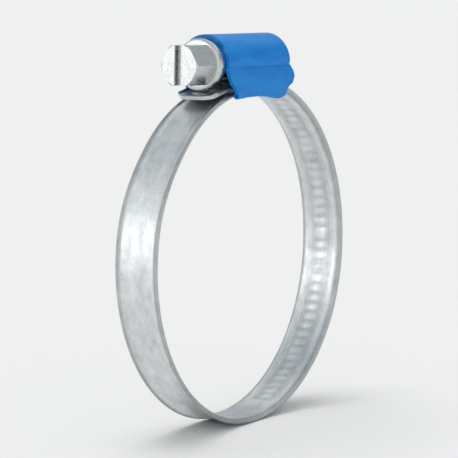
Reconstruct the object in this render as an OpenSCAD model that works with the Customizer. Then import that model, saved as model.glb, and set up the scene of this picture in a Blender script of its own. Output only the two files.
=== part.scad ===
// Worm-drive hose clamp, 9 mm band, 40-60 mm size, shown fully open.
// Origin: centre of the hose seat. Y is the axis of the hose, Z points up to
// the housing, X is the axis of the worm screw, whose head is on the -X side.
// Angles around the band run clockwise from the top, as seen from -Y.

/* [Band] */
// Radius of the hose that the open clamp is seated on, mm
seat_r = 30; // [10:0.5:60]
// Width of the band over its rolled edges, mm
band_w = 9; // [9:0.5:12]
// Width of the flat part of the band between its rolled edges, mm
band_flat_w = 7; // [6:0.5:10]
// Thickness of the strip, mm
band_t = 0.7; // [0.5:0.05:1]
// Rise of the rolled edges, mm
edge_rise = 0.8; // [0.2:0.1:1.2]
// Height of the band's free end above its fixed end in the housing, mm
tongue_lift = 0.9; // [0.8:0.05:1.2]
// Angle of the tip of the free end, degrees
tip_angle = -26.6; // [-35:0.1:-22]
// Angle at which the bending part of the band starts, degrees
bend_start = 62; // [60:0.25:65]

/* [Worm screw] */
// Travel of the band for one turn of the screw, degrees around the ring
pitch_angle = 3.75; // [3.75:0.05:3.75]
// Pitch of the thread, mm
pitch = 2.0; // [1.8:0.01:2.2]
// Radius of the crest of the thread, mm
crest_r = 3.4; // [3:0.05:3.6]
// Radius of the root of the thread, mm
root_r = 2.6; // [2:0.05:2.8]
// Depth that the thread reaches into the band, mm
mesh_depth = 0.35; // [0.2:0.05:0.5]
// Width of the hexagon across its flats, mm
hex_af = 7; // [6:0.5:8]
// Length of the hexagon, mm
hex_l = 5.6; // [4:0.1:7]
// Radius of the flange behind the hexagon, mm
flange_r = 4.5; // [4:0.1:5]
// Thickness of the flange, mm
flange_t = 2.2; // [1:0.1:3]
// Width of the screwdriver slot, mm
slot_w = 1.6; // [1:0.1:2]
// Depth of the screwdriver slot, mm
slot_d = 2.0; // [1:0.1:3]

/* [Housing] */
// Half length of the housing's tube, mm
tube_half_l = 10; // [9:0.5:12]
// Thickness of the housing's wall, mm
wall = 0.7; // [0.5:0.05:1]
// Gap between the housing's wall and the band, each side, mm
side_gap = 0.1; // [0.05:0.05:0.3]

/* [View] */
// Part to show

/* [Hidden] */
blue = [0.08, 0.42, 0.74];
zinc = [0.80, 0.82, 0.83];
strip = [0.66, 0.69, 0.71];
outer_r = seat_r + band_t;
screw_z = tongue_lift + outer_r - mesh_depth + crest_r;
half_w = band_w / 2;
half_flat = band_flat_w / 2;
tube_in = half_w + side_gap;
tube_out = tube_in + wall;
flange_x = -tube_half_l - 0.1;          // rear face of the flange
hex_x = flange_x - flange_t;            // rear end of the hexagon
face_x = hex_x - hex_l;                 // front face of the head
lead = atan(pitch / (2 * PI * (crest_r - mesh_depth / 2)));
link_gap = 0.1;                         // half of the gap at a bend, degrees
groove_gap = 0.12;                      // clearance of the thread in its groove
fixed_start = 356.3;                    // where the fixed end begins, degrees
fixed_stop = 374;
thread_half_l = 6;
bends = [bend_start, 90, 112.5, 135, 157.5, 180, 202.5, 225, 247.5, 270, 298, 326, 354];
last_groove = 41;                       // grooves are counted from the top
$fn = 96;

// Cross-section of the band: x is the radius, y lies along the hose's axis.
module band_profile() {
    mid = half_flat + 0.4 * (half_w - half_flat);
    polygon([
        [seat_r, -half_flat], [seat_r, half_flat],
        [seat_r + 0.25 * edge_rise, mid], [seat_r + edge_rise, half_w],
        [outer_r + edge_rise, half_w], [outer_r + 0.25 * edge_rise, mid],
        [outer_r, half_flat], [outer_r, -half_flat],
        [outer_r + 0.25 * edge_rise, -mid], [outer_r + edge_rise, -half_w],
        [seat_r + edge_rise, -half_w], [seat_r + 0.25 * edge_rise, -mid]]);
}

// Sweeps a cross-section around the hose's axis from angle a to angle b.
module sweep(a, b, lift = 0) {
    translate([0, 0, lift]) rotate([90, 0, 0]) rotate([0, 0, 90 - b])
        rotate_extrude(angle = b - a) children();
}

// A straight piece of band at 3 o'clock, between the heights a and b.
module straight(a, b) {
    translate([0, 0, a]) linear_extrude(b - a) band_profile();
}

// Cutters for the thread grooves numbered from first to last.
module grooves(first, last, lift = 0) {
    r = crest_r + groove_gap;
    w = 0.225 + groove_gap;
    for (i = [first:last])
        translate([0, 0, lift]) rotate([0, i * pitch_angle, 0])
            translate([0, 0, screw_z - tongue_lift]) rotate([0, 0, -lead]) rotate([0, 90, 0])
                rotate_extrude() polygon([[0, -w - 1.6], [r - 1.2, -w - 0.56], [r, -w],
                    [r, w], [r - 1.2, w + 0.56], [0, w + 1.6]]);
}

// One bending piece of the band, between two bend lines.
module link(i) {
    a = bends[i - 1];
    b = bends[i];
    lift = i == 1 ? tongue_lift : 0;
    first = max(0, floor(a / pitch_angle));
    last = min(last_groove, ceil(b / pitch_angle));
    color(strip) difference() {
        union() {
            sweep(a + link_gap, b - (i == 1 ? 0 : link_gap), lift) band_profile();
            if (i == 1) straight(0.06, tongue_lift);
        }
        if (last >= first && i < 5) grooves(first, last, lift);
    }
}

module band_tongue() {
    color(strip) difference() {
        sweep(tip_angle, bend_start - link_gap, tongue_lift) band_profile();
        grooves(-6, ceil(bend_start / pitch_angle), tongue_lift);
        // both corners of the tip are cut off
        for (s = [-1, 1])
            translate([0, 0, tongue_lift]) rotate([0, tip_angle, 0])
                translate([0, s * half_w, seat_r - 1]) rotate([0, 0, s * -43])
                    translate([-3, s > 0 ? 0 : -3, 0]) translate([0, s * -1.35, 0]) cube([6, 3, 4]);
    }
}

module band_fixed_end() {
    color(strip) sweep(fixed_start, fixed_stop) band_profile();
}

module band_link_01() { link(1); }
module band_link_02() { link(2); }
module band_link_03() { link(3); }
module band_link_04() { link(4); }
module band_link_05() { link(5); }
module band_link_06() { link(6); }
module band_link_07() { link(7); }
module band_link_08() { link(8); }
module band_link_09() { link(9); }
module band_link_10() { link(10); }
module band_link_11() { link(11); }
module band_link_12() { link(12); }

// Thread seen along its axis, with the crest at angle 0.
module thread_section() {
    function edge(a) =
        let (d = abs(a), crest = 40, foot = 108)
        d <= crest ? crest_r : d >= foot ? root_r - 0.1
            : crest_r - (crest_r - root_r + 0.1) * (d - crest) / (foot - crest);
    steps = [-180, -160, -140, -120, -108, -94.4, -80.8, -67.2, -53.6, -40, -24, -8,
        8, 24, 40, 53.6, 67.2, 80.8, 94.4, 108, 120, 140, 160];
    polygon([for (a = steps) edge(a) * [cos(a), sin(a)]]);
}

module worm_screw() {
    color(zinc) translate([0, 0, screw_z]) rotate([0, 90, 0]) {
        // head: hexagon with a chamfered face, and a slot across it
        difference() {
            intersection() {
                translate([0, 0, face_x]) rotate([0, 0, 90])
                    cylinder(h = hex_l, r = hex_af / 2 / cos(30), $fn = 6);
                translate([0, 0, face_x]) rotate_extrude()
                    polygon([[0, 0], [hex_af / 2, 0], [hex_af / 2 + 0.7, 0.45],
                        [hex_af / 2 + 0.7, hex_l], [0, hex_l]]);
            }
            translate([-hex_af, -slot_w / 2, face_x - 1]) cube([2 * hex_af, slot_w, slot_d + 1]);
        }
        // flange with a chamfered front edge
        translate([0, 0, hex_x]) rotate_extrude()
            polygon([[0, -0.01], [flange_r - 0.3, -0.01], [flange_r, 0.3], [flange_r, flange_t], [0, flange_t]]);
        // neck, thrust shoulder, core and rear journal
        translate([0, 0, flange_x - 0.01]) cylinder(h = 1.5, r = root_r);
        translate([0, 0, -8.7]) cylinder(h = 1.1, r = crest_r - 0.1);
        translate([0, 0, -8.0]) cylinder(h = 16.6, r = root_r);
        translate([0, 0, 8.5]) cylinder(h = 1.8, r = 2);
        translate([0, 0, -thread_half_l]) rotate([0, 0, -360 * thread_half_l / pitch])
            linear_extrude(2 * thread_half_l, twist = -360 * 2 * thread_half_l / pitch, slices = 180, convexity = 10, $fn = 24)
                thread_section();
    }
}

// Disc inside the tube that holds the screw in line and stops it sliding.
module screw_bearing(x, bore) {
    difference() {
        translate([x, 0, screw_z]) rotate([0, 90, 0]) difference() {
            cylinder(h = 1.1, r = tube_in + 0.05);
            translate([0, 0, -1]) cylinder(h = 4, r = bore);
        }
        translate([x - 1, -10, 20]) cube([4, 20, 31.95 - 20]);
    }
}

// Shell of the housing before its ends are trimmed: a tube over two flanks.
module shell() {
    translate([-14, 0, screw_z]) rotate([0, 90, 0]) difference() {
        cylinder(h = 28, r = tube_out);
        translate([0, 0, -1]) cylinder(h = 30, r = tube_in);
        translate([0, -10, -1]) cube([10, 20, 30]);
    }
    for (s = [-1, 1])
        translate([-14, s > 0 ? tube_in : -tube_out, 25]) cube([28, wall, screw_z - 25]);
}

// Lips that hook under the band's rolled edges from angle a to angle b.
module lips(a, b, gap) {
    top = seat_r + 0.25 * edge_rise + 0.75 * edge_rise * 0.5 - gap;
    for (s = [-1, 1])
        sweep(a, b) polygon([[seat_r - 0.6, s * (half_w - 0.3)], [top, s * (half_w - 0.3)],
            [seat_r + edge_rise - gap, s * half_w], [seat_r + edge_rise - gap, s * (tube_in + 0.2)],
            [seat_r - 0.6, s * (tube_in + 0.2)]]);
}

module housing() {
    side = [[-tube_half_l, screw_z + 8], [tube_half_l, screw_z + 8], [tube_half_l, screw_z - 0.4],
        [tube_half_l + 1.0, screw_z - 1.3], [tube_half_l + 1.5, screw_z - 2.4], [tube_half_l + 1.3, screw_z - 3.6],
        [tube_half_l + 0.6, screw_z - 4.6], [tube_half_l - 0.3, 25], [-3.5, 25], [-5.7, 29.6],
        [-7.4, screw_z - 4.1], [-8.9, screw_z - 2.9], [-9.6, screw_z - 1.4], [-tube_half_l, screw_z - 0.4]];
    color(blue) {
        difference() {
            union() {
                intersection() {
                    shell();
                    translate([0, 10, 0]) rotate([90, 0, 0]) linear_extrude(20) polygon(side);
                }
                lips(356.5, 358.5, 0.2);
                lips(358, 371, 0);
            }
            rotate([90, 0, 0]) cylinder(h = 30, r = seat_r, center = true);
        }
        screw_bearing(-9.95, root_r + 0.12);
        screw_bearing(8.75, 2.12);
    }
}

housing();
band_fixed_end();
worm_screw();
band_tongue();
band_link_01();
band_link_02();
band_link_03();
band_link_04();
band_link_05();
band_link_06();
band_link_07();
band_link_08();
band_link_09();
band_link_10();
band_link_11();
band_link_12();
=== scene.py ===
# %% [markdown]
# # A worm-drive hose clamp
#
# The clamp is three pieces of metal: a narrow galvanised steel band bent into
# a ring, a pressed housing coated blue, and a zinc-plated worm screw. The
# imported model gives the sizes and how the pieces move. This script gives each
# piece its rounded edges, its pressed marks and its surface.

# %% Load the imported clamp
import math

import bmesh
import bpy
from mathutils import Matrix, Vector


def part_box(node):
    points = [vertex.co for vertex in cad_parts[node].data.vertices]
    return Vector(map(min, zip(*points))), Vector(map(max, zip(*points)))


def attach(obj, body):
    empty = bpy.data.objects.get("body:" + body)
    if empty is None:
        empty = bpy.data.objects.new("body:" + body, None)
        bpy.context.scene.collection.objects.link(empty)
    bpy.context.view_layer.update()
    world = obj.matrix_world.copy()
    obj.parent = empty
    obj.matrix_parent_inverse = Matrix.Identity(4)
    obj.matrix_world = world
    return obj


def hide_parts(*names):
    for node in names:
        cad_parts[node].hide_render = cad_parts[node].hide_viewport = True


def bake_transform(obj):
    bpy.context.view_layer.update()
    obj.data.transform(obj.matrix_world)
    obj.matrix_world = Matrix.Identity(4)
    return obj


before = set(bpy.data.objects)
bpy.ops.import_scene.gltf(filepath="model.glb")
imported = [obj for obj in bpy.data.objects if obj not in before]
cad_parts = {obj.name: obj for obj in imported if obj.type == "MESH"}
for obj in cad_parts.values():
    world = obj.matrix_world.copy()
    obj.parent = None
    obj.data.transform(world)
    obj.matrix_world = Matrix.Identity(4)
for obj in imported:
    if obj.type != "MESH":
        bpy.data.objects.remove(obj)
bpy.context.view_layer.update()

# %% [markdown]
# ## Sizes
#
# Everything is worked out in millimetres and shrunk to metres at the end, so
# the numbers read like a drawing. The screw's axis runs along X above the
# ring, the hose's axis runs along Y, and angles go clockwise from the top.

# %% Sizes
MM = 0.001
SEAT_R = 30.0
STRIP_T = 0.7
# the tongue's arc is centred this far above the ring's, so it clears the fixed end
LIFT = 0.9
# one turn of the screw draws in this much of the band
PITCH_ANGLE = 3.75
PITCH = 2.0
CREST_R, ROOT_R = 3.4, 2.6
SCREW_Z = LIFT + SEAT_R + STRIP_T - 0.35 + CREST_R
TUBE_R = 5.3
WALL = 0.7
# where the band bends, in degrees round the ring
BENDS = [62, 90, 112.5, 135, 157.5, 180, 202.5, 225, 247.5, 270, 298, 326]
LAST_BEND_END = 354
TONGUE_TIP, TONGUE_END = -26.6, 50.0
FIXED_END = (356.3, 374.0)

lo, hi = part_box("worm_screw")
print("screw from x = %.2f to %.2f mm" % (lo[0] / MM, hi[0] / MM))

# %% [markdown]
# ## Turning drawings into objects
#
# A piece is built as a bmesh in millimetres. One helper closes the work:
# it scales the mesh, stores it, sets smooth faces with sharp edges kept where
# the metal really turns a corner, and hands it a material.


# %% Finish a piece
def finish_piece(bm, name, material, sharp=40, body=None):
    for edge in bm.edges:
        turn = edge.calc_face_angle(math.pi)
        edge.smooth = turn < math.radians(sharp)
    for face in bm.faces:
        face.smooth = True
    bmesh.ops.scale(bm, vec=(MM, MM, MM), verts=bm.verts)
    mesh = bpy.data.meshes.new(name)
    bm.to_mesh(mesh)
    bm.free()
    mesh.materials.append(material)
    piece = bpy.data.objects.new(name, mesh)
    bpy.context.collection.objects.link(piece)
    if body:
        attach(piece, body)
    print(name, len(mesh.polygons), "faces")
    return piece


print("pieces shrink by", MM, "from millimetres to metres")

# %% [markdown]
# ## Colours and nodes
#
# Paint charts and colour pickers give sRGB values, while shaders work in
# linear light. One function converts them. A second adds a node, sets it and
# links it, so each material below reads as a short recipe. A ramp's stops are
# pairs of a place and a colour, or a place and a grey.

# %% Colour and node helpers
MULTIPLIED = {"data_type": "RGBA", "blend_type": "MULTIPLY"}
MIXED = {"data_type": "RGBA"}


def colour(hex_code):
    parts = [int(hex_code[i:i + 2], 16) / 255 for i in (1, 3, 5)]
    return [c / 12.92 if c <= 0.04045 else ((c + 0.055) / 1.055) ** 2.4 for c in parts] + [1.0]


def add(tree, kind, inputs=None, stops=None, **settings):
    node = tree.nodes.new(kind)
    for key, value in settings.items():
        setattr(node, key, value)
    for key, value in (inputs or {}).items():
        if isinstance(value, bpy.types.NodeSocket):
            tree.links.new(value, node.inputs[key])
        else:
            node.inputs[key].default_value = value
    if stops:
        elements = node.color_ramp.elements
        while len(elements) < len(stops):
            elements.new(0.5)
        for element, (place, value) in zip(elements, stops):
            element.position = place
            element.color = value if isinstance(value, list) else [value, value, value, 1]
    return node


def new_material(name):
    material = bpy.data.materials.new(name)
    material.use_nodes = True
    tree = material.node_tree
    return material, tree, tree.nodes["Principled BSDF"]


def plug_in(tree, shader, base, rough, bump):
    tree.links.new(base, shader.inputs["Base Color"])
    tree.links.new(rough, shader.inputs["Roughness"])
    tree.links.new(bump, shader.inputs["Normal"])


print("middle grey in linear light: %.3f" % colour("#808080")[0])

# %% [markdown]
# ## Galvanised steel strip
#
# The band is cold-rolled steel strip with a skin-passed zinc coat. To the eye
# that is a pale grey metal, never a mirror: a fine grain about a quarter of a
# millimetre across, cloudy patches some millimetres long drawn out along the
# strip, and faint rolling lines. The pattern must follow the bend of the
# strip, so it reads two numbers stored on each vertex: the distance along the
# strip and the distance across it, both in millimetres. Two more say where
# the strip is pressed and where its edge is rolled. The first is painted shade:
# the troughs, the rails and the hollows between the lenses are painted darker.
# The strip is also darker towards its rolled edges.


# %% Galvanised strip material
def galvanised_strip():
    material, tree, shader = new_material("galvanised_steel_strip")
    along, across, pressed, rolled = [
        add(tree, "ShaderNodeAttribute", attribute_name=name).outputs["Fac"]
        for name in ("along", "across", "pressed", "rolled")]
    place = add(tree, "ShaderNodeCombineXYZ", {"X": along, "Y": across}).outputs[0]
    grain = add(tree, "ShaderNodeTexNoise", {
        "Vector": place, "Scale": 4.2, "Detail": 3.0, "Roughness": 0.65}).outputs["Fac"]
    cloudy = add(tree, "ShaderNodeMapping", {
        "Vector": place, "Scale": (0.26, 0.42, 1.0)}).outputs[0]
    clouds = add(tree, "ShaderNodeTexNoise", {
        "Vector": cloudy, "Scale": 1.0, "Detail": 6.0, "Roughness": 0.70}).outputs["Fac"]
    drawn = add(tree, "ShaderNodeMapping", {
        "Vector": place, "Scale": (0.12, 5.0, 1.0)}).outputs[0]
    lines = add(tree, "ShaderNodeTexNoise", {
        "Vector": drawn, "Scale": 1.0, "Detail": 2.0, "Roughness": 0.5}).outputs["Fac"]
    tint = add(tree, "ShaderNodeValToRGB", {"Fac": clouds}, stops=[
        (0.32, colour("#C6CCCE")), (0.52, colour("#DBDFE0")), (0.70, colour("#EBEDED"))])
    shades = [
        (grain, [(0.30, 0.76), (0.47, 0.96), (0.66, 1.0)]),
        # painted shade: darker in the troughs, along the rails and between the lenses
        (pressed, [(0.0, 1.0), (1.0, 0.72)]),
        (rolled, [(0.0, 1.0), (0.5, 0.96), (0.8, 0.74), (1.0, 0.70)])]
    tinted = tint.outputs["Color"]
    for amount, stops in shades:
        shade = add(tree, "ShaderNodeValToRGB", {"Fac": amount}, stops=stops).outputs["Color"]
        tinted = add(tree, "ShaderNodeMix", {
            "Factor": 1.0, "A": tinted, "B": shade}, **MULTIPLIED).outputs["Result"]
    rough = add(tree, "ShaderNodeMapRange", {
        "Value": clouds, "From Min": 0.3, "From Max": 0.7,
        "To Min": 0.44, "To Max": 0.33}).outputs["Result"]
    height = add(tree, "ShaderNodeMath", {0: grain, 1: lines}, operation="ADD").outputs[0]
    bump = add(tree, "ShaderNodeBump", {
        "Height": height, "Strength": 0.35, "Distance": 0.00006}).outputs["Normal"]
    plug_in(tree, shader, tinted, rough, bump)
    shader.inputs["Metallic"].default_value = 1.0
    return material


strip_steel = galvanised_strip()
print(strip_steel.name, len(strip_steel.node_tree.nodes), "nodes")

# %% [markdown]
# ## Blue coated steel
#
# The housing is pressed steel with a baked semi-gloss blue coat about 30
# microns thick. Light spreads softly over it and there is a faint orange-peel
# ripple a millimetre or so across. Paint thins over edges, so those are a
# touch paler, and rubbing leaves small dull spots.


# %% Blue coat material
def blue_coat():
    material, tree, shader = new_material("blue_baked_coat_on_steel")
    spot = add(tree, "ShaderNodeTexCoord").outputs["Object"]
    mm = add(tree, "ShaderNodeMapping", {
        "Vector": spot, "Scale": (1000, 1000, 1000)}).outputs[0]
    drawn = add(tree, "ShaderNodeMapping", {"Vector": mm, "Scale": (0.18, 0.5, 0.5)}).outputs[0]
    clouds = add(tree, "ShaderNodeTexNoise", {
        "Vector": drawn, "Scale": 1.0, "Detail": 4.0, "Roughness": 0.6}).outputs["Fac"]
    peel = add(tree, "ShaderNodeTexNoise", {
        "Vector": mm, "Scale": 1.1, "Detail": 2.0}).outputs["Fac"]
    fine = add(tree, "ShaderNodeTexNoise", {
        "Vector": mm, "Scale": 5.0, "Detail": 3.0}).outputs["Fac"]
    worn = add(tree, "ShaderNodeNewGeometry").outputs["Pointiness"]
    base = add(tree, "ShaderNodeValToRGB", {"Fac": clouds}, stops=[
        (0.30, colour("#0277CC")), (0.50, colour("#0382D8")), (0.72, colour("#108CDC"))])
    edge = add(tree, "ShaderNodeValToRGB", {"Fac": worn}, stops=[(0.60, 0.0), (0.72, 0.35)])
    base = add(tree, "ShaderNodeMix", {
        "Factor": edge.outputs["Color"], "A": base.outputs["Color"],
        "B": colour("#6FA5CE")}, **MIXED).outputs["Result"]
    rough = add(tree, "ShaderNodeMapRange", {
        "Value": fine, "From Min": 0.3, "From Max": 0.7,
        "To Min": 0.27, "To Max": 0.36}).outputs["Result"]
    height = add(tree, "ShaderNodeMath", {0: peel, 1: fine}, operation="ADD").outputs[0]
    bump = add(tree, "ShaderNodeBump", {
        "Height": height, "Strength": 0.25, "Distance": 0.00005}).outputs["Normal"]
    plug_in(tree, shader, base, rough, bump)
    shader.inputs["IOR"].default_value = 1.5
    shader.inputs["Specular IOR Level"].default_value = 0.16
    return material


housing_blue = blue_coat()
print(housing_blue.name, len(housing_blue.node_tree.nodes), "nodes")

# %% [markdown]
# ## Zinc-plated screw
#
# The screw is cold-headed steel with a bright zinc plate. It is the shiniest
# metal here: nearly white where it faces a light, with a mottled, slightly
# pitted skin left by barrel plating.


# %% Zinc plate material
def zinc_plate():
    material, tree, shader = new_material("bright_zinc_plated_steel")
    spot = add(tree, "ShaderNodeTexCoord").outputs["Object"]
    mm = add(tree, "ShaderNodeMapping", {
        "Vector": spot, "Scale": (1000, 1000, 1000)}).outputs[0]
    mottle = add(tree, "ShaderNodeTexNoise", {
        "Vector": mm, "Scale": 2.6, "Detail": 4.0, "Roughness": 0.65}).outputs["Fac"]
    pits = add(tree, "ShaderNodeTexNoise", {
        "Vector": mm, "Scale": 7.0, "Detail": 2.0}).outputs["Fac"]
    base = add(tree, "ShaderNodeValToRGB", {"Fac": mottle}, stops=[
        (0.30, colour("#B9BFBF")), (0.50, colour("#C9CDCC")), (0.70, colour("#D5D7D5"))])
    dark = add(tree, "ShaderNodeValToRGB", {"Fac": pits}, stops=[(0.26, 0.86), (0.38, 1.0)])
    base = add(tree, "ShaderNodeMix", {
        "Factor": 1.0, "A": base.outputs["Color"],
        "B": dark.outputs["Color"]}, **MULTIPLIED).outputs["Result"]
    rough = add(tree, "ShaderNodeMapRange", {
        "Value": mottle, "From Min": 0.3, "From Max": 0.7,
        "To Min": 0.30, "To Max": 0.20}).outputs["Result"]
    bump = add(tree, "ShaderNodeBump", {
        "Height": pits, "Strength": 0.14, "Distance": 0.00003}).outputs["Normal"]
    plug_in(tree, shader, base, rough, bump)
    shader.inputs["Metallic"].default_value = 1.0
    return material


screw_zinc = zinc_plate()
print(screw_zinc.name, len(screw_zinc.node_tree.nodes), "nodes")

# %% [markdown]
# ## The band's cross-section
#
# The strip is 9 mm wide and 0.7 mm thick. Its long edges are rolled up so they
# cannot cut the hose, and each edge is rounded. The outline is drawn once, as
# a loop of points (across, height above the hose). Extra points across the
# flat part give the pressed thread something to bend.

# %% Draw the strip's outline
# how far across the strip's flat part each point lies
FLAT_STEPS = [0.4, 0.8, 1.2, 1.6, 1.9, 2.15, 2.3, 2.45, 2.6, 2.9, 3.2]
ROLL_R, ROLL_TURNS = 1.3, (10, 20, 30, 40, 50)
# the rounded nose at the edge: its shoulders' half thickness and reach, and its tip's reach
NOSE_HALF, NOSE_REACH, NOSE_TIP = 0.30, 0.10, 0.16


def strip_outline():
    half_t, flat = STRIP_T / 2, FLAT_STEPS[-1]
    middle = [(0.0, half_t, 0.0)] + [(y, half_t, 0.0) for y in FLAT_STEPS]
    for turn in ROLL_TURNS:
        a = math.radians(turn)
        middle.append((flat + ROLL_R * math.sin(a), half_t + ROLL_R * (1 - math.cos(a)), a))
    inner = [(y + half_t * math.sin(a), h - half_t * math.cos(a)) for y, h, a in middle]
    outer = [(y - half_t * math.sin(a), h + half_t * math.cos(a)) for y, h, a in middle]
    y, h, a = middle[-1]
    side = (NOSE_HALF * math.sin(a), NOSE_HALF * math.cos(a))
    reach = (NOSE_REACH * math.cos(a), NOSE_REACH * math.sin(a))
    nose = [(y + side[0] + reach[0], h - side[1] + reach[1]),
            (y + NOSE_TIP * math.cos(a), h + NOSE_TIP * math.sin(a)),
            (y - side[0] + reach[0], h + side[1] + reach[1])]
    # the last points are eased in, so that the nose starts without a kink
    inner[-1] = (inner[-1][0] - 0.05, inner[-1][1])
    outer[-1] = (outer[-1][0], outer[-1][1] - 0.03)
    near = [(-y, h) for y, h in inner[1:]] + [(-y, h) for y, h in nose]
    near += [(-y, h) for y, h in outer[:0:-1]]
    far = outer + nose[::-1] + inner[:0:-1]
    return [inner[0]] + near + far


OUTLINE = strip_outline()
print("strip outline:", len(OUTLINE), "points")

# %% [markdown]
# ## The pressed thread
#
# A roller presses slanted troughs into the strip, one for every turn of the
# screw's thread, and each shows on the hose side as a low, lens-shaped bulge
# between two faint rails. Troughs are 2 mm apart, lean by the thread's lead
# angle and fade out before the rolled edges. Four small functions say how
# strong each mark is, from 0 to 1, at an angle round the ring and a distance
# across the strip.

# %% How strongly the strip is pressed at a point
LEAN = PITCH / (2 * math.pi * (CREST_R - 0.17))
FIRST_TROUGH, LAST_TROUGH = -6, 43
RAIL_Y, RAIL_HALF = 2.45, 0.25


def smooth(t):
    t = min(max(t, 0.0), 1.0)
    return t * t * (3 - 2 * t)


def off_trough(angle, y):
    """How far a point lies along the strip from the nearest trough, or None past the last."""
    turns = angle / PITCH_ANGLE - LEAN * y / PITCH
    number = round(turns)
    if FIRST_TROUGH <= number <= LAST_TROUGH:
        return (turns - number) * PITCH
    return None


def trough(angle, y):
    off = off_trough(angle, y)
    if off is None:
        return 0.0
    return smooth((0.78 - abs(off)) / 0.55) * smooth((2.35 - abs(y)) / 0.9)


def bulge(angle, y):
    off = off_trough(angle, y)
    if off is None:
        return 0.0
    return smooth(1.15 - math.hypot(off / 0.95, y / 1.75))


def rail(angle, y):
    if not FIRST_TROUGH - 0.5 <= angle / PITCH_ANGLE <= LAST_TROUGH + 0.5:
        return 0.0
    return smooth(1 - abs(abs(y) - RAIL_Y) / RAIL_HALF)


print("troughs:", LAST_TROUGH - FIRST_TROUGH + 1, "leaning %.1f degrees" % math.degrees(LEAN))

# %% [markdown]
# ## Pieces of the band
#
# The real band bends everywhere as it tightens. Here each piece runs from the
# middle of one stiff length to the middle of the next, with a bend line in
# between. Neighbours share their end outline exactly, so the ring looks like
# one strip.
#
# A piece is the outline spun around the ring. It can run over two arcs with
# different centres, because the tongue lies a little above the fixed end.


# %% Sweep the outline around the ring
def new_side(made):
    """The vertices that an extrusion made, and the edges between them."""
    moved = [g for g in made if isinstance(g, bmesh.types.BMVert)]
    edges = [g for g in made
             if isinstance(g, bmesh.types.BMEdge) and all(v in moved for v in g.verts)]
    return moved, edges


def band_piece(runs, step):
    """Each run is (height of the arc's centre, start angle, end angle)."""
    bm = bmesh.new()
    centre, first = runs[0][0], math.radians(runs[0][1])
    loop = []
    for y, h in OUTLINE:
        r = SEAT_R + h
        loop.append(bm.verts.new((r * math.sin(first), y, centre + r * math.cos(first))))
    edges = [bm.edges.new((loop[i], loop[(i + 1) % len(loop)])) for i in range(len(loop))]
    for height, start, stop in runs:
        if height != centre:
            made = bmesh.ops.extrude_edge_only(bm, edges=edges)["geom"]
            moved, edges = new_side(made)
            bmesh.ops.translate(bm, verts=moved, vec=(0, 0, height - centre))
            centre = height
        verts = list({v for e in edges for v in e.verts})
        turned = bmesh.ops.spin(
            bm, geom=verts + edges, cent=(0, 0, centre), axis=(0, 1, 0),
            angle=math.radians(stop - start), steps=max(1, round((stop - start) / step)))
        edges = [g for g in turned["geom_last"] if isinstance(g, bmesh.types.BMEdge)]
    bmesh.ops.remove_doubles(bm, verts=bm.verts, dist=1e-4)
    bmesh.ops.holes_fill(bm, edges=bm.edges)
    bmesh.ops.recalc_face_normals(bm, faces=bm.faces)
    press(bm, runs)
    return bm


print("band pieces:", len(BENDS) + 3)

# %% [markdown]
# ## Pressing the strip
#
# Every point of a swept piece is moved a little in or out: troughs sink into
# the outer face, rails and lenses mark the hose side, and the tongue's tip
# lifts off the band. The fixed end dips towards the hose, so that the tongue
# can slide over it as the clamp is tightened. The distances that the metal's
# pattern reads are stored on the points at the same time, and so is the painted
# shade that darkens the troughs, the rails and the hollows between the lenses.

# %% Press the marks
TROUGH_DEPTH, RAIL_HEIGHT = 0.40, 0.03
# the tongue's lenses are lower, because they slide over the fixed end
LENS_DEPTH, TONGUE_LENS_DEPTH = 0.10, 0.06
# the pattern is read this far to the side on the outer face, so the two faces differ
OTHER_FACE = 40.0
TIP_LIFT_START, TIP_LIFT = -17, 0.010
# from the dip's start it takes this many degrees to its full depth, and eases out at its end
DIP, EDGE_DIP = 0.48, 0.16
DIP_START, DIP_EASE_IN, DIP_END, DIP_EASE_OUT = 284, 30, 362, 8


def press(bm, runs):
    along, across, pressed, rolled = [
        bm.verts.layers.float.new(name) for name in ("along", "across", "pressed", "rolled")]
    for vert in bm.verts:
        x, y, z = vert.co
        upper = len(runs) == 1 or z > runs[0][0] / 2
        centre = runs[0][0] if upper else runs[-1][0]
        angle = math.degrees(math.atan2(x, z - centre))
        if runs[-1][2] > 180 and angle < 0:
            angle += 360
        out = Vector((x, 0, z - centre))
        height = out.length - SEAT_R
        out.normalize()
        vert[along] = angle * math.pi / 180 * SEAT_R
        vert[across] = y + (0.0 if height > 0.4 else OTHER_FACE)
        vert[rolled] = smooth((abs(y) - 2.9) / 1.2)
        if angle < TIP_LIFT_START:
            vert.co += out * TIP_LIFT * (TIP_LIFT_START - angle) ** 2
        dip = DIP + EDGE_DIP * smooth((abs(y) - 2.6) / 1.2)
        ease = smooth((angle - DIP_START) / DIP_EASE_IN)
        vert.co -= out * dip * ease * smooth((DIP_END - angle) / DIP_EASE_OUT)
        if abs(y) < 3.0 and height > 0.5:
            depth = trough(angle, y)
            vert.co -= out * TROUGH_DEPTH * depth
            # painted shade: the trough is stored darker
            vert[pressed] = 0.4 * depth
        elif abs(y) < 3.0 and height < 0.2:
            lens, ridge = bulge(angle, y), rail(angle, y)
            lens_depth = TONGUE_LENS_DEPTH if angle < TONGUE_END else LENS_DEPTH
            vert.co += out * (RAIL_HEIGHT * ridge - lens_depth * lens)
            threaded = smooth((LAST_TROUGH + 1 - angle / PITCH_ANGLE) * 2)
            # painted shade in the hollows between the lenses and along the rails
            shade_between_lenses = 0.75 * (1 - lens) * smooth((2.4 - abs(y)) / 0.5)
            vert[pressed] = threaded * max(0.5 * ridge, shade_between_lenses)


print("troughs are %.2f mm deep, the fixed end dips %.2f mm" % (TROUGH_DEPTH, DIP))

# %% [markdown]
# ## The tongue
#
# The free end of the band is threaded and has its two corners cut off, so it
# finds its way into the housing. Two slanted planes slice the swept strip,
# and the cuts are closed again.

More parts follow.
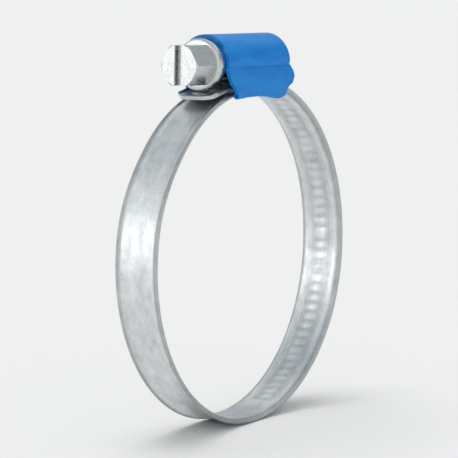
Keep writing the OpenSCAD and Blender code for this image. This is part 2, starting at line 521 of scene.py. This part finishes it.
# %% The tongue, with its corners cut off
FINE_STEP, PLAIN_STEP = 0.375, 1.0
# each cut starts this far off the centre line, and slants by this direction
CUT_START, CUT_ALONG, CUT_ACROSS = 2.2, 0.72, 0.69


def tongue():
    bm = band_piece([(LIFT, TONGUE_TIP, TONGUE_END)], FINE_STEP)
    tip = math.radians(TONGUE_TIP)
    for side in (-1, 1):
        point = Vector((SEAT_R * math.sin(tip), side * CUT_START,
                        LIFT + SEAT_R * math.cos(tip)))
        away = Vector((-math.cos(tip) * CUT_ALONG, side * CUT_ACROSS,
                       math.sin(tip) * CUT_ALONG))
        bmesh.ops.bisect_plane(bm, geom=bm.verts[:] + bm.edges[:] + bm.faces[:], dist=1e-4,
                               plane_co=point, plane_no=away, clear_outer=True)
        bmesh.ops.holes_fill(bm, edges=bm.edges)
    bmesh.ops.recalc_face_normals(bm, faces=bm.faces)
    piece = finish_piece(bm, "band_tongue_visible", strip_steel, body="tongue")
    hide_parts("band_tongue")


tongue()

# %% [markdown]
# ## The bending lengths
#
# Twelve pieces carry the bends. Each is swept in one go.
# Where the strip is threaded the sweep takes fine steps, because ten of them
# make one trough.


# %% The bending lengths
def middle_of_link(i):
    ends = BENDS + [LAST_BEND_END]
    return (ends[i] + ends[i + 1]) / 2


def bending_length(i):
    start = TONGUE_END if i == 0 else middle_of_link(i - 1)
    stop = middle_of_link(i)
    threaded = start < (LAST_TROUGH + 1) * PITCH_ANGLE
    if i == 0:
        runs = [(LIFT, start, stop)]
    elif i == 1:
        # the ring's centre drops from the tongue's to the band's at the side
        runs = [(LIFT, start, 90.0), (0.0, 90.0, stop)]
    else:
        runs = [(0.0, start, stop)]
    bm = band_piece(runs, FINE_STEP if threaded else PLAIN_STEP)
    name = "band_bend_%02d" % (i + 1)
    piece = finish_piece(bm, name, strip_steel)
    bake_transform(piece)
    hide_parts("band_link_%02d" % (i + 1))


for number in range(len(BENDS)):
    bending_length(number)

# %% [markdown]
# ## The two ends inside the housing
#
# The last link stops just short of the end that is clinched in the housing.
# In the real clamp they are one strip. Here the gap is where the ring of
# joints is opened, and the housing hides it.

# %% The two ends inside the housing
bm = band_piece([(0.0, middle_of_link(11), LAST_BEND_END)], PLAIN_STEP)
inner_end = finish_piece(bm, "band_inner_end", strip_steel, body="link_12")
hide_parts("band_link_12")

bm = band_piece([(0.0, *FIXED_END)], PLAIN_STEP)
fixed_end = finish_piece(bm, "band_fixed_end_visible", strip_steel, body="clamp_root")
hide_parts("band_fixed_end")

# %% [markdown]
# ## The housing
#
# One sheet of steel is pressed into a tube over the screw, comes down as two
# flanks beside the band and hooks under the band's rolled edges. It starts as
# the bent edge line of the sheet, seen end-on, which is extruded along the
# screw's axis. The rows are then slid so that the flanks lean back at the
# front and bulge at the rear, and the bottom follows the ring.
#
# Each row of a flank knows how far down it is, from 0 at the crease below the
# tube to 1 at the bottom. The lips go past 1.

# %% Outline of the housing seen end-on
SKIN_R = TUBE_R - WALL / 2
FLANK_ROWS = (1.0, 0.92, 0.82, 0.7, 0.58, 0.46, 0.34, 0.24, 0.16, 0.1, 0.066, 0.045, 0.03, 0.014)
ON_TUBE = -1.0
# a pressed groove marks the crease: how far in it goes, how far down it lies, how wide it is
CREASE_IN, CREASE_DOWN, CREASE_HALF = 0.22, 0.03, 0.03
FLANK_IN, FLANK_SWELL = 0.06, 0.12
# the lip's points: (across, how far down, height above the flank's bottom)
LIPS = [(-4.35, 1.30, 0.95), (-4.34, 1.25, 0.62), (-4.46, 1.16, 0.3), (-4.66, 1.08, 0.08),
        (-4.84, 1.06, 0.0)]


def housing_line():
    """Points from the near lip, up and over the tube, to the far lip: (y, down, height)."""
    near = [(y, down) for y, down, _ in LIPS]
    for down in FLANK_ROWS:
        swell = FLANK_SWELL * math.sin(math.pi * min(down * 1.1, 1.0))
        pinch = CREASE_IN * smooth(1 - abs(down - CREASE_DOWN) / CREASE_HALF)
        near.append((-(SKIN_R - FLANK_IN + swell) + pinch, down))
    turns = [math.radians(turn) for turn in range(4, 177, 4)]
    tube = [(-SKIN_R * math.cos(a), ON_TUBE, SKIN_R * math.sin(a)) for a in turns]
    return ([(y, down, 0.0) for y, down in near] + tube
            + [(-y, down, 0.0) for y, down in near[::-1]])


print("housing outline:", len(housing_line()), "points")

# %% [markdown]
# ## Shaping the flanks
#
# Three tables give the flank's outline, read with an eased step from one
# entry to the next: where its front and rear edges lie for each depth, and
# how high its bottom is along the screw.

# %% Shape the flanks
# (how far down, along the screw)
FRONT = [(-0.4, -10.0), (0.0, -10.0), (0.1, -10.15), (0.48, -9.3), (0.8, -7.7), (0.9, -7.2),
         (1.0, -7.3)]
REAR = [(-0.4, 10.0), (0.02, 10.0), (0.1, 10.4), (0.24, 11.1), (0.45, 11.5), (0.68, 11.0),
        (0.87, 9.5), (1.0, 8.8)]
# (along the screw, height)
UNDER = [(-9.5, 29.0), (-8.3, 28.75), (-5.6, 28.85), (-3.4, 29.0), (0.0, 29.05), (2.6, 28.85),
         (4.9, 28.5), (6.6, 28.35), (8.3, 28.7), (9.6, 29.4)]
HALF_TUBE = 10.0
CREASE_Z = SCREW_Z - 0.4
# the lips stay under the band's rolled edges, inside this radius
UNDER_BAND_R = 30.3
FLARE = 0.18
LIP_RISE = {down: rise for _, down, rise in LIPS}


def between(table, t):
    for (a, va), (b, vb) in zip(table, table[1:]):
        if t <= b:
            return va + (vb - va) * smooth((t - a) / (b - a))
    return table[-1][1]


def shape_flank(vert, t, down):
    level = min(down, 1.0)
    x0, x1 = between(FRONT, level), between(REAR, level)
    x = x0 + (x1 - x0) * t
    bottom = between(UNDER, x)
    vert.co.x = x
    vert.co.z = CREASE_Z + (bottom - CREASE_Z) * level
    if down > 1.0:
        under_band = math.sqrt(UNDER_BAND_R ** 2 - x * x)
        vert.co.z = min(bottom + LIP_RISE[round(down, 2)], under_band - 0.02 * (1.3 - down))
    # the front of each flank flares away from the band, and the lips less so
    flare = FLARE * smooth((level - 0.35) / 0.5) * smooth(1 - t / 0.22)
    lip_share = 1.0 if down <= 1.0 else max(0.0, 1.0 - (down - 1.0) * 3)
    vert.co.y += math.copysign(flare * lip_share, vert.co.y)


print("front edge leans back %.1f mm" % (FRONT[-1][1] - FRONT[0][1]))

# %% [markdown]
# ## Pressing the housing
#
# The edge line is extruded in even steps, shaped, and checked to face
# outwards before its wall is given. The sheet's thickness is a Solidify
# modifier and its soft edges are a Bevel, so both are even all over.


# %% Press the housing
def housing():
    bm = bmesh.new()
    tag = bm.verts.layers.float.new("down")
    rise = bm.verts.layers.float.new("rise")
    line = []
    for y, down, height in housing_line():
        vert = bm.verts.new((0, y, 0))
        vert[tag], vert[rise] = down, height
        line.append(vert)
    edges = [bm.edges.new(pair) for pair in zip(line, line[1:])]
    steps = 44
    for _ in range(steps):
        moved, edges = new_side(bmesh.ops.extrude_edge_only(bm, edges=edges)["geom"])
        bmesh.ops.translate(bm, verts=moved, vec=(1.0 / steps, 0, 0))
    for vert in bm.verts:
        t, down = vert.co.x, vert[tag]
        if down < 0:
            vert.co.x = -HALF_TUBE + 2 * HALF_TUBE * t
            vert.co.z = SCREW_Z + vert[rise]
        else:
            shape_flank(vert, t, down)
    bm.normal_update()
    bmesh.ops.recalc_face_normals(bm, faces=bm.faces)
    top = max(bm.faces, key=lambda f: f.calc_center_median().z)
    if top.normal.z < 0:
        bmesh.ops.reverse_faces(bm, faces=bm.faces)
    piece = finish_piece(bm, "housing_shell", housing_blue, sharp=60)
    wall = piece.modifiers.new("wall", "SOLIDIFY")
    wall.thickness = WALL * MM
    wall.offset = 0.0
    wall.use_even_offset = False
    rim = piece.modifiers.new("rim", "BEVEL")
    rim.width = 0.16 * MM
    rim.segments = 2
    rim.limit_method = "ANGLE"
    rim.angle_limit = math.radians(50)
    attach(piece, "clamp_root")
    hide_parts("housing")


housing()

# %% [markdown]
# ## Bearing discs
#
# Two thick discs close the ends of the tube around the screw. Each is a ring
# spun around the screw's axis, cut flat below to let the band pass.

# %% Spin the discs
DISC_T, DISC_R, DISC_BOTTOM = 1.1, TUBE_R - WALL + 0.05, 33.4
FRONT_DISC_X, REAR_DISC_X = -9.95, 8.75
RUNNING_GAP, JOURNAL_R = 0.12, 2.0


def bearing(name, x, bore):
    bm = bmesh.new()
    corners = [(x, bore), (x + DISC_T, bore), (x + DISC_T, DISC_R), (x, DISC_R)]
    verts = [bm.verts.new((px, 0, SCREW_Z + r)) for px, r in corners]
    edges = [bm.edges.new((verts[i], verts[(i + 1) % 4])) for i in range(4)]
    bmesh.ops.spin(bm, geom=verts + edges, cent=(0, 0, SCREW_Z), axis=(1, 0, 0),
                   angle=math.tau, steps=64, use_merge=True)
    bmesh.ops.bisect_plane(bm, geom=bm.verts[:] + bm.edges[:] + bm.faces[:], dist=1e-4,
                           plane_co=(0, 0, DISC_BOTTOM), plane_no=(0, 0, -1), clear_outer=True)
    bmesh.ops.holes_fill(bm, edges=bm.edges)
    bmesh.ops.recalc_face_normals(bm, faces=bm.faces)
    piece = finish_piece(bm, name, housing_blue, body="clamp_root")


bearing("front_bearing_disc", FRONT_DISC_X, ROOT_R + RUNNING_GAP)
bearing("rear_bearing_disc", REAR_DISC_X, JOURNAL_R + RUNNING_GAP)

# %% [markdown]
# ## The worm screw
#
# The body of the screw is turned, so its profile is spun around its axis:
# flange, neck, thrust shoulder, core and rear journal, each given as points
# (along the axis, radius).

# %% Turn the body
HEX_AF, FACE_X, HEX_X, FLANGE_X = 7.0, -17.9, -12.3, -10.1
FLANGE_PROFILE = [
    (HEX_X + 0.05, 0.0), (HEX_X, 3.75), (HEX_X, 4.2), (HEX_X + 0.08, 4.45), (HEX_X + 0.25, 4.6),
    (HEX_X + 0.45, 4.65), (FLANGE_X - 0.25, 4.65), (FLANGE_X - 0.08, 4.58), (FLANGE_X, 4.4),
    (FLANGE_X, ROOT_R)]
SHOULDER_PROFILE = [
    (-8.7, ROOT_R), (-8.7, 3.2), (-8.6, 3.3), (-7.7, 3.3), (-7.6, 3.2), (-7.6, ROOT_R)]
JOURNAL_PROFILE = [
    (8.6, ROOT_R), (8.6, JOURNAL_R), (10.1, JOURNAL_R), (10.3, 1.8), (10.3, 0.0)]


def turned(profile, steps=96):
    bm = bmesh.new()
    verts = [bm.verts.new((x, 0, SCREW_Z + r)) for x, r in profile]
    edges = [bm.edges.new(pair) for pair in zip(verts, verts[1:])]
    bmesh.ops.spin(bm, geom=verts + edges, cent=(0, 0, SCREW_Z), axis=(1, 0, 0),
                   angle=math.tau, steps=steps, use_merge=True)
    bmesh.ops.remove_doubles(bm, verts=bm.verts, dist=1e-4)
    bmesh.ops.recalc_face_normals(bm, faces=bm.faces)
    return bm


profile = FLANGE_PROFILE + SHOULDER_PROFILE + JOURNAL_PROFILE
body = finish_piece(turned(profile), "worm_screw_body", screw_zinc, sharp=35, body="screw")
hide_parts("worm_screw")

# %% [markdown]
# ## The thread
#
# The thread is a ridge whose four-cornered section is spun around the axis
# with a drift of one pitch per turn. Its crest is narrow and its flanks lean
# 25 degrees, to sit in the band's troughs.

# %% Wind the thread
THREAD_START, THREAD_TURNS, STEPS_PER_TURN = -6.0, 6, 48
HALF_CREST = 0.2
HALF_ROOT = HALF_CREST + (CREST_R - ROOT_R) * math.tan(math.radians(25))


def thread():
    bm = bmesh.new()
    # the crest is at the bottom where x is a whole number of pitches
    corners = [(-HALF_ROOT, ROOT_R - 0.05), (-HALF_CREST, CREST_R - 0.03),
               (HALF_CREST, CREST_R - 0.03), (HALF_ROOT, ROOT_R - 0.05)]
    verts = [bm.verts.new((THREAD_START + x, 0, SCREW_Z - r)) for x, r in corners]
    edges = [bm.edges.new((verts[i], verts[(i + 1) % 4])) for i in range(4)]
    bmesh.ops.spin(bm, geom=verts + edges, cent=(0, 0, SCREW_Z), axis=(1, 0, 0),
                   angle=math.tau * THREAD_TURNS, steps=STEPS_PER_TURN * THREAD_TURNS,
                   dvec=(PITCH / STEPS_PER_TURN, 0, 0))
    bmesh.ops.holes_fill(bm, edges=bm.edges)
    bmesh.ops.recalc_face_normals(bm, faces=bm.faces)
    piece = finish_piece(bm, "worm_thread", screw_zinc, sharp=25, body="screw")


thread()

# %% [markdown]
# ## The head
#
# The head is a hexagon whose face was chamfered round, with a slot sawn
# across it. Machining it for real takes two tools, so it takes two here: a
# turned cone that keeps what lies inside it, and a long bar with the slot's
# section that is taken away. Both are used once, through Boolean modifiers,
# and thrown out.

# %% Head the screw
CHAMFER_PROFILE = [
    (FACE_X, 0.0), (FACE_X, 3.62), (FACE_X + 0.05, 3.74), (FACE_X + 0.16, 3.85),
    (FACE_X + 0.45, 4.3), (HEX_X + 1, 4.3), (HEX_X + 1, 0.0)]
# the floor of the slot is proud in the middle and sharp in its corners: (depth, across)
SLOT_SECTION = [
    (-1.0, -0.97), (1.35, -0.97), (1.35, -0.78), (0.95, -0.52), (0.95, 0.52), (1.35, 0.78),
    (1.35, 0.97), (-1.0, 0.97)]
SLOT_LENGTH, SLOT_TURN = 12.0, 1.5


def extruded(bm, faces, vec):
    made = bmesh.ops.extrude_face_region(bm, geom=faces, use_keep_orig=True)["geom"]
    moved = [g for g in made if isinstance(g, bmesh.types.BMVert)]
    bmesh.ops.translate(bm, verts=moved, vec=vec)


def hexagon_blank():
    bm = bmesh.new()
    corner = HEX_AF / 2 / math.cos(math.radians(30))
    bmesh.ops.create_circle(bm, segments=6, radius=corner, cap_ends=True)
    bmesh.ops.rotate(bm, verts=bm.verts, cent=(0, 0, 0),
                     matrix=Matrix.Rotation(math.radians(90), 3, "Y"))
    extruded(bm, bm.faces[:], (HEX_X - FACE_X + 0.1, 0, 0))
    bmesh.ops.translate(bm, verts=bm.verts, vec=(FACE_X, 0, SCREW_Z))
    bmesh.ops.recalc_face_normals(bm, faces=bm.faces)
    return finish_piece(bm, "hexagon_head", screw_zinc, sharp=25)


def slot_saw():
    bm = bmesh.new()
    corners = [bm.verts.new((depth, y, -SLOT_LENGTH / 2)) for depth, y in SLOT_SECTION]
    extruded(bm, [bm.faces.new(corners)], (0, 0, SLOT_LENGTH))
    bmesh.ops.recalc_face_normals(bm, faces=bm.faces)
    bmesh.ops.rotate(bm, verts=bm.verts, cent=(0, 0, 0),
                     matrix=Matrix.Rotation(math.radians(SLOT_TURN), 3, "X"))
    bmesh.ops.translate(bm, verts=bm.verts, vec=(FACE_X, 0, SCREW_Z))
    return finish_piece(bm, "slot_tool", screw_zinc, sharp=25)


def hexagon_head():
    head = hexagon_blank()
    cone = finish_piece(turned(CHAMFER_PROFILE), "chamfer_tool", screw_zinc, sharp=25)
    saw = slot_saw()
    for tool, work in ((cone, "INTERSECT"), (saw, "DIFFERENCE")):
        cut = head.modifiers.new(tool.name, "BOOLEAN")
        cut.object, cut.operation, cut.solver = tool, work, "EXACT"
    edge = head.modifiers.new("edges", "BEVEL")
    edge.width, edge.segments = 0.10 * MM, 2
    edge.limit_method, edge.angle_limit = "ANGLE", math.radians(28)
    bpy.context.view_layer.update()
    evaluated = head.evaluated_get(bpy.context.evaluated_depsgraph_get())
    shaped = bpy.data.meshes.new_from_object(evaluated)
    for face in shaped.polygons:
        face.use_smooth = False
    head.modifiers.clear()
    head.data = shaped
    for tool in (cone, saw):
        bpy.data.objects.remove(tool)
    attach(head, "screw")


hexagon_head()

# %% [markdown]
# ## The floor
#
# The floor is a pale matt sheet, far wider than the view, so that no edge or
# horizon line shows. It touches the lowest point of the visible band.

# %% Floor
FLOOR_HALF = 30000
# the band's visible underside lies this far above its solid's lowest corner
UNDERSIDE_RISE = 0.45


def floor():
    bm = bmesh.new()
    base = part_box("band_link_05")[0][2] / MM
    bmesh.ops.create_grid(bm, x_segments=1, y_segments=1, size=FLOOR_HALF)
    bmesh.ops.translate(bm, verts=bm.verts, vec=(0, 0, base + UNDERSIDE_RISE))
    material, _, shader = new_material("pale_matt_floor")
    shader.inputs["Base Color"].default_value = colour("#EEEEEE")
    shader.inputs["Roughness"].default_value = 1.0
    shader.inputs["Specular IOR Level"].default_value = 0.0
    piece = finish_piece(bm, "floor", material)


floor()

# %% [markdown]
# ## The lights
#
# Polished metal shows what stands around it, so the lights are placed for
# their reflections. A broad soft light stands low at the back left, where the
# band's outer face mirrors it. It lights reflections only, so it leaves no
# glare on the floor. A wide overhead light gives the soft shadow and is kept
# out of the reflections.

# %% Lights
SOFTBOX_PLACE, SOFTBOX_SIZE, SOFTBOX_POWER = (-0.75, 0.50, 0.00), (0.60, 0.80), 1.6


def reflected_softbox(name, place, size, power):
    data = bpy.data.lights.new(name, "AREA")
    data.shape, data.size, data.size_y = "RECTANGLE", size[0], size[1]
    data.energy = power
    lamp = bpy.data.objects.new(name, data)
    lamp.location = place
    lamp.visible_diffuse = False
    lamp.rotation_euler = (-Vector(place)).to_track_quat("-Z", "Y").to_euler()
    bpy.context.collection.objects.link(lamp)


reflected_softbox("left_back_softbox", SOFTBOX_PLACE, SOFTBOX_SIZE, SOFTBOX_POWER)

overhead = bpy.data.lights.new("overhead_scrim", "SUN")
overhead.angle, overhead.energy = math.radians(45), 1.15
scrim = bpy.data.objects.new("overhead_scrim", overhead)
scrim.rotation_euler = (math.radians(-14), math.radians(2), 0)
scrim.visible_glossy = False
bpy.context.collection.objects.link(scrim)
print("lights:", len(bpy.data.lights))

# %% [markdown]
# ## The room
#
# The rest is a white room. Diffuse light comes evenly from all sides. Only
# reflections see that the walls differ: on the left the ceiling is greyer,
# and on the right a grey band runs along the wall, which gives the metal
# something darker to mirror and shows its shape.

# %% The white room
# (height of the direction, colour)
LEFT_WALL = [(0.05, colour("#F4F6F7")), (0.62, colour("#F8F9FA")), (0.78, colour("#C6CDD1")),
             (1.0, colour("#BCC4C9"))]
RIGHT_WALL = [(0.03, colour("#F4F6F7")), (0.22, colour("#A4ABB1")), (0.46, colour("#A4ABB1")),
              (0.58, colour("#F4F6F7")), (1.0, colour("#FFFFFF"))]


def white_room():
    world = bpy.data.worlds.new("white_room")
    world.use_nodes = True
    room = world.node_tree
    direction = add(room, "ShaderNodeTexCoord").outputs["Generated"]
    parts = add(room, "ShaderNodeSeparateXYZ", {0: direction}).outputs
    left, right = [
        add(room, "ShaderNodeValToRGB", {"Fac": parts["Z"]}, stops=stops).outputs["Color"]
        for stops in (LEFT_WALL, RIGHT_WALL)]
    to_right = add(room, "ShaderNodeMapRange", {
        "Value": parts["X"], "From Min": 0.1, "From Max": 0.45}).outputs["Result"]
    mirrored = add(room, "ShaderNodeMix", {
        "Factor": to_right, "A": left, "B": right}, **MIXED).outputs["Result"]
    ray = add(room, "ShaderNodeLightPath").outputs
    lit = add(room, "ShaderNodeMix", {
        "Factor": ray["Is Camera Ray"], "A": colour("#D4D5D5"),
        "B": colour("#F0F0F0")}, **MIXED).outputs["Result"]
    seen = add(room, "ShaderNodeMix", {
        "Factor": ray["Is Glossy Ray"], "A": lit, "B": mirrored}, **MIXED).outputs["Result"]
    room.links.new(seen, room.nodes["Background"].inputs["Color"])
    return world


bpy.context.scene.world = white_room()
bpy.context.scene.view_settings.view_transform = "Standard"
print("world:", bpy.context.scene.world.name)

# %% [markdown]
# ## The camera
#
# The camera looks slightly down at the clamp from the front left, from about
# a third of a metre away with a long lens, so the ring is a narrow ellipse.
# Azimuth 0 looks along +Y. The lens is shifted a little to place the clamp
# in the frame without tilting it.

# %% Camera
AZIMUTH, ELEVATION, DISTANCE, FOCAL = -56.38, 7.37, 0.3669, 157.35
FRAME_WIDTH, SHIFT_X, SHIFT_Y = 458, -7.0, 23.6

az, el = math.radians(AZIMUTH), math.radians(ELEVATION)
back = Vector((math.sin(az) * math.cos(el), -math.cos(az) * math.cos(el), math.sin(el)))
camera_data = bpy.data.cameras.new("camera")
camera_data.lens, camera_data.sensor_width = FOCAL, 36.0
camera_data.shift_x, camera_data.shift_y = SHIFT_X / FRAME_WIDTH, SHIFT_Y / FRAME_WIDTH
camera = bpy.data.objects.new("camera", camera_data)
camera.location = back * DISTANCE
camera.rotation_mode = "QUATERNION"
camera.rotation_quaternion = (-back).to_track_quat("-Z", "Y")
bpy.context.collection.objects.link(camera)
bpy.context.scene.camera = camera
print("camera", DISTANCE, "m away, lens", FOCAL, "mm")
